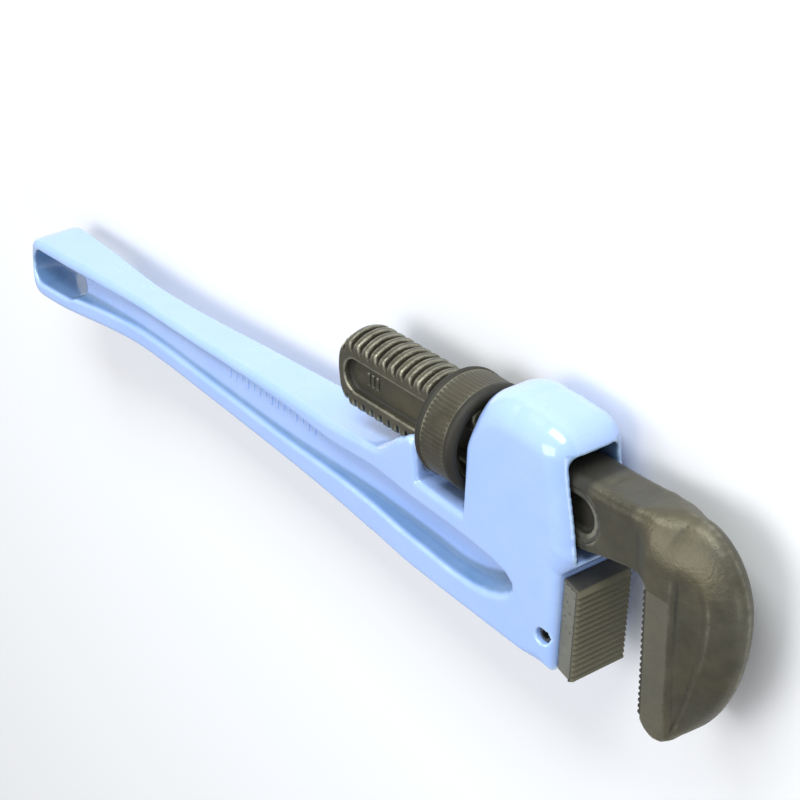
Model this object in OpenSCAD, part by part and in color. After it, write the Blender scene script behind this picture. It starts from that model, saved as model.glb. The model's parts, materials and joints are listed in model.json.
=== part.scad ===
// Straight pipe wrench, lying on its side with the jaws at +X.
// Origin: middle of the lower end of the heel jaw's tooth face. The tooth face is the
// plane X = 0, the jaws open towards -Y, and Z = 0 is the wrench's plane of symmetry.
// The hook jaw, nut and leaf spring are drawn in their own frame: its origin is the
// point that the jaw rocks about, and its X axis is the shank's centre line.

/* [Overall] */
// Length from the heel jaw's teeth back to the end of the handle
handle_len = 387.5; // [330:0.5:480]
// Thickness of the head across its side faces
head_t = 34; // [32:0.5:44]
// Height of the housing above the head's lower edge
head_h = 98; // [96:0.5:116]
// Depth of the head behind the heel jaw's teeth
head_depth = 61.5; // [60:0.5:76]

/* [Handle] */
// Height of the handle where the lug's slope meets it
neck_h = 39; // [34:0.5:40]
// Height of the handle at its waist
waist_h = 23; // [18:0.5:28]
// Height of the handle near its tail
tail_h = 28; // [24:0.5:36]
// Droop of the tail's lower edge below the head's lower edge
tail_drop = 14; // [6:0.5:20]
// Thickness of the handle's flanges at the waist
waist_t = 18.8; // [14:0.2:24]
// Thickness of the handle's flanges at the tail
tail_t = 25; // [20:0.5:34]
// Thickness of the web between the flanges
web_t = 9; // [6:0.2:12]
// Height of each flange's lip beside the hollow
lip_h = 6; // [4:0.2:7]
// Radius of the hang slot
slot_r = 7.2; // [5:0.1:8]
// Length of the hang slot between its end centres
slot_len = 21; // [12:0.5:40]

/* [Nut] */
// Radius of the adjusting nut
nut_r = 22; // [20:0.1:26]
// Length of the adjusting nut
nut_len = 22; // [14:0.5:30]
// Chamfer on the nut's rims
nut_chamfer = 1.6; // [0.5:0.1:3]
// End clearance between the nut and its trough, each side
nut_gap = 2.6; // [2.2:0.1:5]

/* [Shank] */
// Radius of the shank's thread over its crests
thread_r = 17; // [15:0.1:18]
// Depth of the thread
thread_depth = 2.5; // [1.5:0.1:3]
// Pitch of the thread
thread_pitch = 5.33; // [4:0.01:7]
// Running clearance of the thread, radial and axial
thread_gap = 0.3; // [0.25:0.01:0.5]
// Thickness of the shank across its flats
shank_t = 21; // [16:0.5:24]
// Length of the shank behind the rocking point
shank_back = 110.5; // [100:0.5:130]
// Depth of the pocket in each flat
pocket_depth = 3.6; // [1:0.1:5]
// Half height of the pocket
pocket_r = 7.4; // [5:0.1:9]

/* [Jaws] */
// Width of both jaws' tooth faces
jaw_w = 26; // [22:0.5:34]
// Length of the heel jaw's tooth face
heel_len = 40.5; // [36:0.5:41]
// Thickness of the heel jaw in front of the head
heel_t = 8.7; // [7:0.1:12]
// Distance from the rocking point to the hook jaw's teeth
hook_reach = 67.5; // [60:0.5:90]
// Drop of the hook jaw's tip below the shank's centre line
hook_drop = 69; // [60:0.5:76]
// Depth of the hook jaw behind its teeth
hook_depth = 38.5; // [30:0.5:50]
// Depth of the flat band behind the hook jaw's teeth
band_w = 12.5; // [8:0.5:16]
// Pitch of the teeth
tooth_pitch = 2.5; // [1.5:0.1:4]
// Depth of the teeth
tooth_depth = 1.1; // [0.5:0.1:2]
// Angle that the loose jaw is cocked open at rest
jaw_cock = 3.6; // [2:0.1:4]

/* [Small parts] */
// Radius of the heel jaw's pin
pin_r = 3; // [2:0.1:4]
// How far each end of the pin lies below the side face
pin_sink = 2; // [0.5:0.1:4]
// Thickness of the leaf spring
leaf_t = 0.8; // [0.5:0.1:1]
// Width of the leaf spring
leaf_w = 13; // [8:0.5:16]
// Wire diameter of the coil spring
wire_d = 1.1; // [0.8:0.1:1.4]
// Outer radius of the coil spring
coil_r = 4.4; // [3:0.1:5]
// Number of turns in the coil spring
coil_turns = 6; // [4:1:8]

/* [Hidden] */
$fn = 48;
fit_gap = 0.05;
side_gap = 1;
overlap = 1;

// Head, measured from the tooth plane and the lower edge
window_t = shank_t + 2 * side_gap;
front_x = -heel_t;
rear_x = -head_depth;
trough_y = 39.5;
lug_x = rear_x - nut_len - 2 * nut_gap;
lug_h = 17;
lug_len = 28;
lug_lean = 3.5;
lug_round = 3.5;
base_y = -1;
pivot_x = -38;
pivot_y = trough_y + nut_r + 4.5;
window_roof = pivot_y + thread_r + 5.8;
roof_fall = 3;
floor_y = pivot_y - thread_r - 4;
lip_y = pivot_y - thread_r - 0.2;
lip_back = 15;
sill_run = 3;
nose_y = lip_y + 4;
nose_x = -2;
nose_bulge = 4.5;
brow_x = -11;
brow_r = 11;
crown_back = 18;
crown_fall = 23;
round_x = 10;
round_z = 9;
chin_gap = 1.5;
chin_rise = 4;

// Handle stations along X, measured from the tail and the lug
neck_x = lug_x - lug_len;
tail_r = tail_h / 2;
tail_x = tail_r - handle_len;
waist_x = neck_x + 0.69 * (tail_x - neck_x);
waist_drop = tail_drop * 0.36;
slot_x = slot_r + 6 - handle_len;
slot_tilt = 4;
hollow_front = -31;
hollow_point = 8;
hollow_top = 28.5;
hollow_low = 11;
web_rise = 4;
web_tilt = atan(web_rise / (hollow_front - tail_x));
lip_more = 5;
end_ease = 0.4;
steps = 12;

// Tongue of the heel jaw and its slot in the head
tongue_neck_t = 10;
tongue_t = 18;
tongue_neck = 4;
tongue_depth = 10;
tongue_h = 33;
pin_x = front_x - tongue_depth / 2;
pin_y = 13;

// Shank and nut in the jaw's frame
nut_x = pivot_x - rear_x;
nut_mid = -(nut_x + nut_gap + nut_len / 2);
thread_front = 9;
root_r = thread_r - thread_depth;
thread_n = 24;
pocket_back = pocket_r + 5 - shank_back;
pocket_front = 32;
neck_top = 14.6;
neck_r = thread_r + 0.6;
hook_top = 18.4;
tail_round = 12;
band_sink = 0.6;
band_from = 0.3;

// Hook in the jaw's frame: its widest place, the curves above and below it, and its rim
hook_wide_y = -13;
hook_back = hook_reach + hook_depth;
hook_upper = [27, hook_top - hook_wide_y];
hook_lower = [44, 62];
hook_turn = 63;
hook_inset = 2.5;
hook_under = -8.5;
hook_start = hook_reach - 8;
tip_flat = 5.5;
rim_t = jaw_w - 4;
core_t = jaw_w - 9;

// Springs in the jaw's frame
leaf_y = -thread_r - 0.6;
leaf_bow = 0.8;
leaf_back = -20;
leaf_front = 20;
rivet_x = 11;
rivet_r = 1.6;
rivet_head_r = 2.9;
rivet_head_h = 0.4;
rivet_len = 3;
coil_gap = 1.2;
coil_x = pivot_x + rivet_x;
pocket_floor = floor_y - 13;
coil_pocket_r = coil_r + 0.5;
coil_sides = 8;
coil_steps = 14;

// Smooth step from 0 to 1
function ease(t) = t <= 0 ? 0 : t >= 1 ? 1 : (1 - cos(180 * t)) / 2;
function mix(a, b, t) = a + (b - a) * t;

// Lower edge, upper edge and flange thickness of the handle at a distance x
function part_way(x, from, to) = (x - from) / (to - from);
function low_edge(x) =
    x > waist_x ? base_y - waist_drop * ease(part_way(x, neck_x, waist_x))
                : mix(base_y - waist_drop, -tail_drop, ease(part_way(x, waist_x, tail_x)));
function high_edge(x) =
    x > waist_x ? mix(neck_h, low_edge(waist_x) + waist_h,
                      pow(part_way(x, neck_x, waist_x), 0.72))
                : mix(low_edge(waist_x) + waist_h, tail_h - tail_drop,
                      ease(part_way(x, waist_x, tail_x)));
function flange_t(x) =
    x > lug_x ? head_t
    : x > waist_x ? mix(head_t, waist_t, sqrt(part_way(x, lug_x, waist_x)) * 0.9
                        + 0.1 * part_way(x, lug_x, waist_x))
    : mix(waist_t, tail_t, ease(part_way(x, waist_x, tail_x)));

stations = [for (i = [0 : steps]) mix(neck_x, waist_x, i / steps),
            for (i = [1 : steps]) mix(waist_x, tail_x, i / steps)];
function flip(list) = [for (i = [len(list) - 1 : -1 : 0]) list[i]];
function arc(c, r, from, to, n) =
    [for (i = [0 : n]) let (a = mix(from, to, i / n)) [c[0] + r[0] * cos(a), c[1] + r[1] * sin(a)]];

// Side outline of the long handle, with its round tail
module handle_side() {
    polygon(concat(
        [[lug_x, base_y], [lug_x, neck_h]],
        [for (x = stations) [x, high_edge(x)]],
        arc([tail_x, tail_r - tail_drop], [tail_r, tail_r], 100, 260, 14),
        [for (x = flip(stations)) [x, low_edge(x)]]));
}

// Plan outline of the whole casting, round at the front and at the tail
module plan() {
    back = concat([for (x = stations) [x, flange_t(x) / 2]],
                  arc([tail_x, 0], [tail_r, tail_t / 2], 100, 180, 8));
    front = concat([[lug_x, head_t / 2]],
                   arc([nose_x - round_x, head_t / 2 - round_z], [round_x, round_z], 90, 0, 8));
    half = concat(flip(back), front);
    polygon(concat(half, [for (p = flip(half)) [p[0], -p[1]]]));
}

// Side outline of the head: heel seat, nose, crown, trough and lug
module head_side() {
    heel_top = heel_len + chin_gap;
    lug_y = trough_y + lug_h;
    lug_back = lug_x - lug_lean - lug_round;
    polygon(concat(
        [[front_x, base_y], [front_x, heel_top], [front_x + chin_rise, heel_top + chin_rise],
         [nose_x, nose_y], [nose_x - nose_bulge, mix(nose_y, head_h, 0.4)]],
        arc([brow_x - brow_r, head_h - brow_r], [brow_r, brow_r], 0, 90, 5),
        [[rear_x + crown_back, head_h - 1], [rear_x, head_h - crown_fall],
         [rear_x, trough_y], [lug_x, trough_y]],
        arc([lug_back, lug_y - lug_round], [lug_round, lug_round], 0, 90, 4),
        [for (i = [1 : 6]) [mix(lug_back - lug_round, neck_x, i / 6),
                            mix(lug_y, neck_h, ease(i / 6))]],
        [[neck_x, base_y]]));
}

// Passage for the shank through the housing
module window() {
    translate([0, 0, -window_t / 2]) linear_extrude(window_t) polygon([
        [rear_x - overlap, trough_y], [rear_x + sill_run, floor_y], [-lip_back, floor_y],
        [brow_x, lip_y], [nose_x + overlap, lip_y], [nose_x + overlap, window_roof],
        [rear_x + crown_back, window_roof], [rear_x - overlap, window_roof - roof_fall]]);
}

// Groove through the lug that the shank's tail runs in
module shank_groove() {
    translate([neck_x - overlap, trough_y + 1.5, -window_t / 2])
        cube([lug_len + lug_lean + 2 * overlap, lug_h, window_t]);
}

// Hollow in one side of the handle, above the web, which thickens towards the pointed front
function lip_at(x, more) = lip_h + more * (1 - ease(part_way(x, neck_x, waist_x)));
module hollow() {
    top = [for (x = stations) [x, high_edge(x) - lip_at(x, lip_more + 1)]];
    low = [for (x = stations) [x, low_edge(x) + lip_at(x, lip_more - 1)]];
    mid = (hollow_top + hollow_low) / 2;
    end_r = tail_r - lip_h + end_ease;
    translate([tail_x, 0, web_t / 2]) rotate([0, -web_tilt, 0]) translate([-tail_x, 0, 0])
    linear_extrude(head_t) polygon(concat(
        [[rear_x, hollow_low], [hollow_front - hollow_point, hollow_low + 2],
         [hollow_front, mid + 3], [hollow_front - hollow_point, hollow_top],
         [rear_x, hollow_top]],
        top,
        arc([tail_x, tail_r - tail_drop], [end_r, end_r], 105, 255, 10),
        flip(low)));
}

// Long hole through the tail
module hang_slot() {
    for (i = [0, 1]) {
        translate([slot_x, tail_r - tail_drop, 0]) rotate([0, 0, slot_tilt])
            translate([i * slot_len, 0, 0]) cylinder(r = slot_r, h = head_t, center = true);
    }
    translate([slot_x, tail_r - tail_drop, 0]) rotate([0, 0, slot_tilt])
        translate([0, -slot_r, -head_t / 2]) cube([slot_len, 2 * slot_r, head_t]);
}

// Undercut slot for the heel jaw's tongue, open at the head's lower edge
module tongue(grow) {
    depth = tongue_neck + overlap;
    translate([front_x - tongue_neck - grow, base_y - overlap, -tongue_neck_t / 2 - grow])
        cube([depth + 2 * grow, tongue_h + overlap - base_y + grow, tongue_neck_t + 2 * grow]);
    translate([front_x - tongue_depth - grow, base_y - overlap, -tongue_t / 2 - grow])
        cube([tongue_depth - tongue_neck + 2 * grow, tongue_h + overlap - base_y + grow,
              tongue_t + 2 * grow]);
}

module handle() color([0.65, 0.80, 0.98]) difference() {
    intersection() {
        translate([0, 0, -head_t / 2]) linear_extrude(head_t) union() {
            handle_side();
            head_side();
        }
        rotate([90, 0, 0]) translate([0, 0, -head_h - overlap])
            linear_extrude(head_h + tail_drop + 3 * overlap) plan();
    }
    window();
    shank_groove();
    for (side = [0, 1]) mirror([0, 0, side]) hollow();
    hang_slot();
    tongue(fit_gap * 2);
    translate([pin_x, pin_y, 0]) cylinder(r = pin_r + fit_gap, h = head_t + overlap, center = true);
    translate([coil_x, pocket_floor, 0]) rotate([-90, 0, 0])
        cylinder(r = coil_pocket_r, h = floor_y - pocket_floor + overlap);
}

// Row of pointed teeth along Y, pointing towards +X at x = 0
function teeth(length) = let (n = floor(length / tooth_pitch))
    [for (i = [0 : n - 1]) each [[-tooth_depth, i * tooth_pitch],
                                 [0, (i + 0.35) * tooth_pitch]]];

module heel_jaw() color([0.48, 0.47, 0.42]) difference() {
    union() {
        translate([0, 0, -jaw_w / 2]) linear_extrude(jaw_w) polygon(concat(
            [[front_x, 0]], teeth(heel_len), [[-tooth_depth, heel_len], [front_x, heel_len]]));
        intersection() {
            tongue(0);
            translate([-handle_len, 0, -head_t]) cube([handle_len - heel_t / 2, head_h, 2 * head_t]);
        }
    }
    translate([pin_x, pin_y, 0]) cylinder(r = pin_r + fit_gap, h = head_t, center = true);
}

// Slit spring pin through the head and the heel jaw's tongue
module heel_jaw_pin() color([0.25, 0.25, 0.25]) difference() {
    length = head_t - 2 * pin_sink;
    translate([pin_x, pin_y, 0]) cylinder(r = pin_r, h = length, center = true);
    translate([pin_x, pin_y, 0]) cylinder(r = pin_r * 0.6, h = length + overlap, center = true);
    translate([pin_x, pin_y - pin_r * 0.15, -length / 2 - overlap])
        cube([pin_r + overlap, pin_r * 0.3, length + 2 * overlap]);
}

// Places a piece in the jaw's frame
module jaw_frame() {
    translate([pivot_x, pivot_y, 0]) rotate([0, 0, jaw_cock]) children();
}

// Threaded rod along X with its starts on one helix; grow widens it for a nut
function thread_x(k, grow) = let (q = k % 4, turn = floor(k / 4))
    thread_pitch * (turn + [0, 0.3, 0.44, 0.86][q]) + grow * [1, -1, -1, 1][q];
function thread_rad(k, grow) = grow + (k % 4 < 2 ? root_r : thread_r);

module thread_rod(x0, turns, grow) {
    rows = 4 * turns;
    n = thread_n;
    grid = [for (k = [0 : rows + 4]) for (j = [0 : n - 1]) let (a = 360 * j / n)
        [x0 + thread_x(k, grow) + thread_pitch * j / n,
         thread_rad(k, grow) * cos(a), thread_rad(k, grow) * sin(a)]];
    tips = [[x0 + thread_pitch / 2, 0, 0],
            [x0 + thread_pitch * (turns + 0.5), 0, 0]];
    count = len(grid);
    function at(k, j) = j < n ? k * n + j : (k + 4) * n;
    skin = [for (k = [0 : rows - 1]) for (j = [0 : n - 1])
        each [[at(k, j), at(k + 1, j + 1), at(k, j + 1)], [at(k, j), at(k + 1, j), at(k + 1, j + 1)]]];
    seam0 = concat([for (j = [0 : n]) at(0, j)], [at(3, 0), at(2, 0), at(1, 0)]);
    seam1 = concat([for (j = [0 : n]) at(rows, j)], [at(rows + 3, 0), at(rows + 2, 0), at(rows + 1, 0)]);
    m = len(seam0);
    cap0 = [for (i = [0 : m - 1]) [count, seam0[i], seam0[(i + 1) % m]]];
    cap1 = [for (i = [0 : m - 1]) [count + 1, seam1[(i + 1) % m], seam1[i]]];
    polyhedron(points = concat(grid, tips), faces = concat(skin, cap0, cap1), convexity = 10);
}

// Whole turns of thread behind the rocking point, so that rod and nut share one helix
back_turns = floor(shank_back / thread_pitch) - 1;
front_turns = ceil(thread_front / thread_pitch);
nut_turns = ceil(nut_len / thread_pitch) + 2;
nut_start = -ceil((nut_x + nut_gap + nut_len) / thread_pitch) - 1;

// Outline of the hook, inset all round its outer edge
module hook_side(inset) {
    upper = [hook_upper[0] - inset, hook_upper[1] - inset];
    lower = [hook_lower[0] - inset, hook_lower[1] - inset];
    teeth_x = hook_reach + tooth_depth;
    polygon(concat(
        [[hook_start, hook_under + inset * 0.3], [hook_reach - 3, hook_under],
         [teeth_x, hook_under - 2.5], [teeth_x, inset + tip_flat - 2 - hook_drop],
         [hook_reach + tip_flat + 2, inset - hook_drop]],
        arc([hook_back - hook_lower[0], hook_wide_y], lower, -hook_turn, 0, 9),
        arc([hook_back - hook_upper[0], hook_wide_y], upper, 10, 90, 8),
        [[hook_start, neck_top - inset]]));
}

// Block of full width that carries the hook jaw's teeth, which point towards -X
module hook_teeth() {
    start = hook_under - 2.5;
    length = hook_drop + start - tip_flat;
    translate([hook_reach, start, 0]) rotate([0, 0, 180]) linear_extrude(jaw_w, center = true)
        polygon(concat([[-band_w, -start / 2], [-tooth_depth, 0]], teeth(length),
                       [[-tooth_depth, length], [-tip_flat - 1, length + tip_flat],
                        [-band_w, length + tip_flat - 1]]));
}

module hook_jaw() color([0.40, 0.38, 0.32]) jaw_frame() difference() {
    union() {
        intersection() {
            thread_rod(-back_turns * thread_pitch, back_turns + front_turns, 0);
            translate([-shank_back, -2 * thread_r, -shank_t / 2])
                cube([shank_back + thread_front, 4 * thread_r, shank_t]);
        }
        // Plain tail with round corners, inside the thread's roots
        intersection() {
            translate([0, 0, -shank_t / 2]) linear_extrude(shank_t) polygon(concat(
                arc([tail_round - shank_back, 0], [tail_round, root_r - 1], 90, 270, 10),
                [[thread_front, 1 - root_r], [thread_front, root_r - 1]]));
            translate([-shank_back - overlap, 0, 0]) rotate([0, 90, 0])
                cylinder(r = root_r - 0.1, h = shank_back + thread_front + 2 * overlap);
        }
        // Neck between the thread and the hook
        intersection() {
            translate([0, 0, -shank_t / 2]) linear_extrude(shank_t) polygon([
                [thread_front - 1, -root_r], [pocket_front + 4, -root_r],
                [hook_start, hook_under], [hook_reach + 6, hook_under], [hook_reach + 6, neck_top],
                [pocket_front - 8, neck_top], [thread_front - 1, thread_r]]);
            rotate([0, 90, 0]) cylinder(r = neck_r, h = hook_reach + 10);
        }
        linear_extrude(core_t, center = true) hook_side(0);
        linear_extrude(rim_t, center = true) difference() {
            hook_side(hook_inset);
            translate([0, hook_under - 0.5]) square([hook_reach - 1, head_h]);
        }
        hook_teeth();
    }
    for (side = [0, 1]) mirror([0, 0, side]) translate([0, 0, shank_t / 2 - pocket_depth]) {
        translate([pocket_back, 0, 0]) cylinder(r = pocket_r, h = jaw_w);
        translate([pocket_front, 0, 0]) cylinder(r = pocket_r, h = jaw_w);
        translate([pocket_back, -pocket_r, 0]) cube([pocket_front - pocket_back, 2 * pocket_r, jaw_w]);
    }
}

// Ring nut with plain rims and a shallow grip band
module adjusting_nut() color([0.42, 0.39, 0.33]) jaw_frame() difference() {
    from = nut_len * band_from;
    to = nut_len - from;
    translate([nut_mid - nut_len / 2, 0, 0]) rotate([0, 90, 0]) rotate_extrude() polygon([
        [0, 0], [nut_r - nut_chamfer, 0], [nut_r, nut_chamfer], [nut_r, from],
        [nut_r - band_sink, from + band_sink], [nut_r - band_sink, to - band_sink], [nut_r, to],
        [nut_r, nut_len - nut_chamfer], [nut_r - nut_chamfer, nut_len], [0, nut_len]]);
    thread_rod(nut_start * thread_pitch, nut_turns + 2, thread_gap);
}

// Arched leaf that rubs on the underside of the shank
module flat_spring() color([0.35, 0.36, 0.38]) jaw_frame() difference() {
    span = leaf_front - leaf_back;
    line = [for (i = [0 : steps]) let (t = i / steps)
        [leaf_back + span * t, leaf_y - leaf_bow * (1 - 4 * t * (1 - t))]];
    translate([0, 0, -leaf_w / 2]) linear_extrude(leaf_w) polygon(concat(
        line, [for (p = flip(line)) [p[0], p[1] - leaf_t]]));
    translate([rivet_x, leaf_y, 0]) rotate([90, 0, 0])
        cylinder(r = rivet_r + fit_gap, h = 2 * rivet_len, center = true);
}

// Rivet that holds the coil spring's top turn to the leaf
module spring_rivet() color([0.60, 0.60, 0.60]) jaw_frame()
    translate([rivet_x, leaf_y, 0]) rotate([90, 0, 0]) union() {
        translate([0, 0, -rivet_head_h]) cylinder(r = rivet_head_r * 0.8, h = rivet_head_h);
        cylinder(r = rivet_r, h = rivet_len);
    }

// Coil of round wire along Y, on the floor of its pocket
module coil_spring() color([0.45, 0.46, 0.48]) {
    bottom = pocket_floor + wire_d / 2 + 2 * fit_gap;
    leaf_under = pivot_y + rivet_x * sin(jaw_cock) + (leaf_y - leaf_t) * cos(jaw_cock);
    top = leaf_under - wire_d / 2 - coil_gap;
    n = coil_steps * coil_turns;
    r = coil_r - wire_d / 2;
    rings = [for (i = [0 : n]) let (a = 360 * i / coil_steps, y = mix(bottom, top, i / n))
        for (j = [0 : coil_sides - 1]) let (b = 360 * j / coil_sides, q = r + wire_d / 2 * cos(b))
            [coil_x + q * cos(a), y + wire_d / 2 * sin(b), q * sin(a)]];
    m = coil_sides;
    skin = [for (i = [0 : n - 1]) for (j = [0 : m - 1]) let (k = (j + 1) % m)
        each [[i * m + j, i * m + k, (i + 1) * m + k], [i * m + j, (i + 1) * m + k, (i + 1) * m + j]]];
    polyhedron(points = rings, faces = concat(
        skin, [[for (j = [m - 1 : -1 : 0]) j]], [[for (j = [0 : m - 1]) n * m + j]]), convexity = 10);
}

handle();
heel_jaw();
heel_jaw_pin();
hook_jaw();
adjusting_nut();
flat_spring();
coil_spring();
spring_rivet();
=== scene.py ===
import json
import math

import bpy
import numpy as np
from bpy.props import FloatProperty, FloatVectorProperty, IntProperty, PointerProperty
from mathutils import Matrix, Vector


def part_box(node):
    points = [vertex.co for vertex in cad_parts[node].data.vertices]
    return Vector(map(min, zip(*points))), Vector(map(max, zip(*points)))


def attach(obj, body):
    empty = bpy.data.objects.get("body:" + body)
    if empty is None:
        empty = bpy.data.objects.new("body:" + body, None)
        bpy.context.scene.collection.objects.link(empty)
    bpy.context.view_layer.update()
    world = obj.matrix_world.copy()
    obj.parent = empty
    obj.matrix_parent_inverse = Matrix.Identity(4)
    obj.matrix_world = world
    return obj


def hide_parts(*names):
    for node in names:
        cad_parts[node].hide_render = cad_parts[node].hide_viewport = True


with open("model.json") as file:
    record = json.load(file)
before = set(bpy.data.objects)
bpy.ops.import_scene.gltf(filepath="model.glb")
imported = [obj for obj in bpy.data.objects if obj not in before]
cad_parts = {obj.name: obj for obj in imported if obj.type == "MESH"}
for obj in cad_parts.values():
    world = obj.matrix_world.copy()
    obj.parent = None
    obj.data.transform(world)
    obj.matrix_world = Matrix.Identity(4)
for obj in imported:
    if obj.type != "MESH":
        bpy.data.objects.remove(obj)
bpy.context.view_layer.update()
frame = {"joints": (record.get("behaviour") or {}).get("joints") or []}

bl_info = {
    "name": "Pipe wrench",
    "version": (1, 0, 0),
    "blender": (4, 5, 0),
    "location": "3D View > Sidebar > Pipe wrench",
    "description": "Builds the finished pieces of a straight pipe wrench round its frame",
    "category": "Object",
}

# Lengths below are in millimetres, in the frame's axes: +X from the handle's tail to the
# jaws, +Y towards the housing's crown, +Z out of the upper side face.
MM = 0.001
TURN = 2 * math.pi


def corner(node, which, axis):
    """One coordinate of a CAD node's box, in millimetres: which is 0 for low, 1 for high."""
    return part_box(node)[which][axis] / MM


# Places taken from the frame
TAIL_X = corner("handle", 0, 0)
CROWN_Y = corner("handle", 1, 1)
DROOP_Y = corner("handle", 0, 1)
HEAD_HALF = corner("handle", 1, 2)
HEEL_X = corner("heel_jaw", 0, 0)
HEEL_Y = corner("heel_jaw", 1, 1)
JAW_HALF = corner("heel_jaw", 1, 2)
PIN_X = (corner("heel_jaw_pin", 0, 0) + corner("heel_jaw_pin", 1, 0)) / 2
PIN_Y = (corner("heel_jaw_pin", 0, 1) + corner("heel_jaw_pin", 1, 1)) / 2
PIN_R = (corner("heel_jaw_pin", 1, 1) - corner("heel_jaw_pin", 0, 1)) / 2
PIN_HALF = corner("heel_jaw_pin", 1, 2)
NUT_R = corner("adjusting_nut", 1, 2)
COIL_X = (corner("coil_spring", 0, 0) + corner("coil_spring", 1, 0)) / 2
COIL_Y = (corner("coil_spring", 0, 1), corner("coil_spring", 1, 1))
COIL_R = corner("coil_spring", 1, 2)
LEAF_HALF = corner("flat_spring", 1, 2)

JOINTS = {joint["name"]: joint for joint in frame["joints"]}
PIVOT = np.array([v / MM for v in JOINTS["jaw_rock"]["pos_m"]])
JAW_AXIS = np.array(JOINTS["jaw_slide"]["axis"])
COCK = math.atan2(JAW_AXIS[1], JAW_AXIS[0])


# ---------------------------------------------------------------- sizes and finishes


class CastingSizes(bpy.types.PropertyGroup):
    """Sizes of the cast handle."""

    edge_r: FloatProperty(name="Edge radius", description="Rounding of the casting's edges",
                          default=2.4 * MM, unit="LENGTH", subtype="DISTANCE")
    crown_r: FloatProperty(name="Crown radius", description="Rounding beside the crown",
                           default=12 * MM, unit="LENGTH", subtype="DISTANCE")
    nose_r: FloatProperty(name="Nose radius", description="Rounding of the housing's front",
                          default=10 * MM, unit="LENGTH", subtype="DISTANCE")
    web_t: FloatProperty(name="Web thickness", description="Thickness between the hollows",
                         default=9 * MM, unit="LENGTH", subtype="DISTANCE")
    cell: FloatProperty(name="Cell", description="Spacing of the grid in the head and tail",
                        default=0.9 * MM, unit="LENGTH", subtype="DISTANCE")


class JawSizes(bpy.types.PropertyGroup):
    """Sizes of the hook jaw, its thread and the nut."""

    thread_r: FloatProperty(name="Thread radius", description="Radius over the crests",
                            default=17 * MM, unit="LENGTH", subtype="DISTANCE")
    thread_depth: FloatProperty(name="Thread depth", description="Depth of the thread",
                                default=2.5 * MM, unit="LENGTH", subtype="DISTANCE")
    pitch: FloatProperty(name="Pitch", description="Travel for one turn of the nut",
                         default=5.33 * MM, unit="LENGTH", subtype="DISTANCE")
    flats: FloatProperty(name="Across flats", description="Thickness of the shank",
                         default=21 * MM, unit="LENGTH", subtype="DISTANCE")
    tooth_pitch: FloatProperty(name="Tooth pitch", description="Distance between teeth",
                               default=2.5 * MM, unit="LENGTH", subtype="DISTANCE")
    tooth_depth: FloatProperty(name="Tooth depth", description="Depth of the teeth",
                               default=1.1 * MM, unit="LENGTH", subtype="DISTANCE")
    ribs: IntProperty(name="Ribs", description="Ribs round the nut's grip band", default=72, min=12)


def colour_property(name, description, default):
    return FloatVectorProperty(name=name, description=description, default=default, size=3,
                               subtype="COLOR", min=0, max=1)


class WrenchColours(bpy.types.PropertyGroup):
    """Colours of the finishes."""

    enamel: colour_property("Enamel", "Sky-blue enamel on the handle", (0.365, 0.535, 0.95))
    # Painted shade: the enamel's colour on the walls of the hollow, the long hole and the passage, and
    # in corners
    enamel_shade: colour_property("Enamel shade", "Painted shade of the enamel in hollows and corners", (0.125, 0.24, 0.44))
    # Painted highlight: the pale enamel colour laid over convex edges
    enamel_highlight: colour_property("Enamel highlight", "Painted highlight of the enamel over edges", (0.62, 0.86, 0.99))
    forging: colour_property("Forging", "Oiled drop forging", (0.088, 0.082, 0.059))
    forging_rub: colour_property("Rubbed forging", "Forging where hands polish it",
                                 (0.34, 0.325, 0.25))
    tooth: colour_property("Heel steel", "Hardened steel of the heel jaw", (0.17, 0.168, 0.14))
    tooth_rub: colour_property("Tooth tips", "Straw-coloured steel where the teeth grip",
                               (0.80, 0.74, 0.45))
    # Soot and painted shade: the dark colour for dirt, and for shade in corners, the pocket and under
    # the shank
    soot_and_shade: colour_property("Soot and shade", "Burnt oil, dirt and painted shade", (0.012, 0.011, 0.009))
    spring: colour_property("Springs", "Blued spring steel", (0.16, 0.16, 0.17))


# ---------------------------------------------------------------- distances


def ease(value, low, high):
    """Smooth step: 0 below low, 1 above high, and 3t^2 - 2t^3 between them."""
    t = np.clip((value - low) / (high - low), 0, 1)
    return t * t * (3 - 2 * t)


def mix(a, b, t):
    return a + (b - a) * t


def smooth_curve(x, stations, heights):
    """Height over x of a smooth curve through the stations: cubic pieces whose slope at a
    station is the mean slope of the two stretches that meet there."""
    s, h = np.asarray(stations, float), np.asarray(heights, float)
    slope = np.gradient(h, s)
    at = np.clip(x, s[0], s[-1])
    k = np.clip(np.searchsorted(s, at) - 1, 0, len(s) - 2)
    wide = s[k + 1] - s[k]
    t = (at - s[k]) / wide
    rise = t * t * (3 - 2 * t)
    lean = t * (1 - t) * ((1 - t) * slope[k] - t * slope[k + 1])
    return mix(h[k], h[k + 1], rise) + lean * wide


def arc(centre, radii, start, end, count):
    """Points on an ellipse from one angle to another, in degrees."""
    a = np.radians(np.linspace(start, end, count))
    return np.stack([centre[0] + radii[0] * np.cos(a), centre[1] + radii[1] * np.sin(a)], 1)


def outline_distance(x, y, points):
    """Distance from each place to a closed outline, negative inside: the nearest edge gives
    the size, and an odd count of edges crossed on the way to +X means inside."""
    x, y = np.broadcast_arrays(x, y)
    nearest = np.full(x.shape, np.inf)
    inside = np.zeros(x.shape, bool)
    for (ax, ay), (bx, by) in zip(points, np.roll(points, -1, 0)):
        ex, ey = bx - ax, by - ay
        length = ex * ex + ey * ey
        if length < 1e-12:
            continue
        t = np.clip(((x - ax) * ex + (y - ay) * ey) / length, 0, 1)
        nearest = np.minimum(nearest, (x - ax - t * ex) ** 2 + (y - ay - t * ey) ** 2)
        crosses = (ay > y) != (by > y)
        if ey:
            inside ^= crosses & (x < ax + (y - ay) * ex / ey)
    return np.where(inside, -1, 1) * np.sqrt(nearest)


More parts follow.
